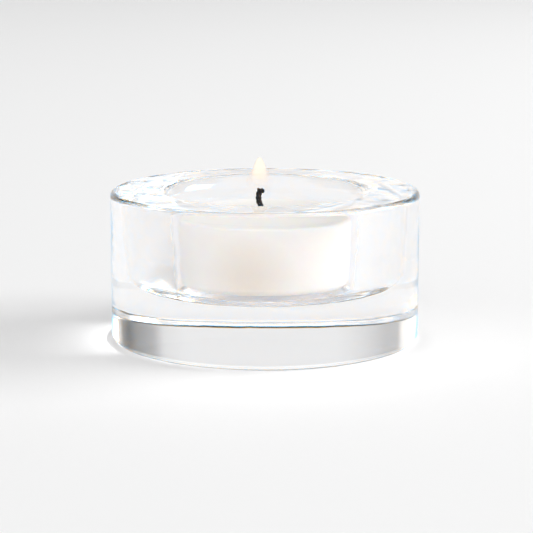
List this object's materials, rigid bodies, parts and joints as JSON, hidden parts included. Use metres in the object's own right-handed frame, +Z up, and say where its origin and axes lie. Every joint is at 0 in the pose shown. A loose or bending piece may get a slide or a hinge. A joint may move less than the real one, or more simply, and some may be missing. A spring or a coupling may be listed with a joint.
{
  "type": "tealight holder",
  "caption": "Squat, thick-walled clear glass holder with a heavy solid base, holding a lit tealight in a clear plastic cup.",
  "frame": {"origin": "middle of the flat face that the glass stands on", "axes": "+Z up, along the axis of the glass and of the tealight; the burned end of the wick leans towards -X; the front is -Y"},
  "size_m": [0.069, 0.069, 0.0335],
  "materials": {
    "pressed_glass": "fire-polished, clear",
    "clear_cup": "glossy, clear",
    "wax": "smooth, waxy, slightly translucent",
    "tinplate": "bright tin",
    "charred_wick": "braided cotton, charred"
  },
  "bodies": {
    "holder": {"glass_holder": "pressed_glass"},
    "tealight": {"tealight_cup": "clear_cup"},
    "candle": {"wax_fill": "wax", "wick_tab": "tinplate", "wick": "charred_wick"}
  },
  "joints": [
    {"name": "tealight_lift", "type": "slide", "parent": "holder", "child": "tealight", "axis": [0, 0, 1], "range_m": [0, 0.03]},
    {"name": "candle_lift", "type": "slide", "parent": "tealight", "child": "candle", "axis": [0, 0, 1], "range_m": [0, 0.02]}
  ]
}
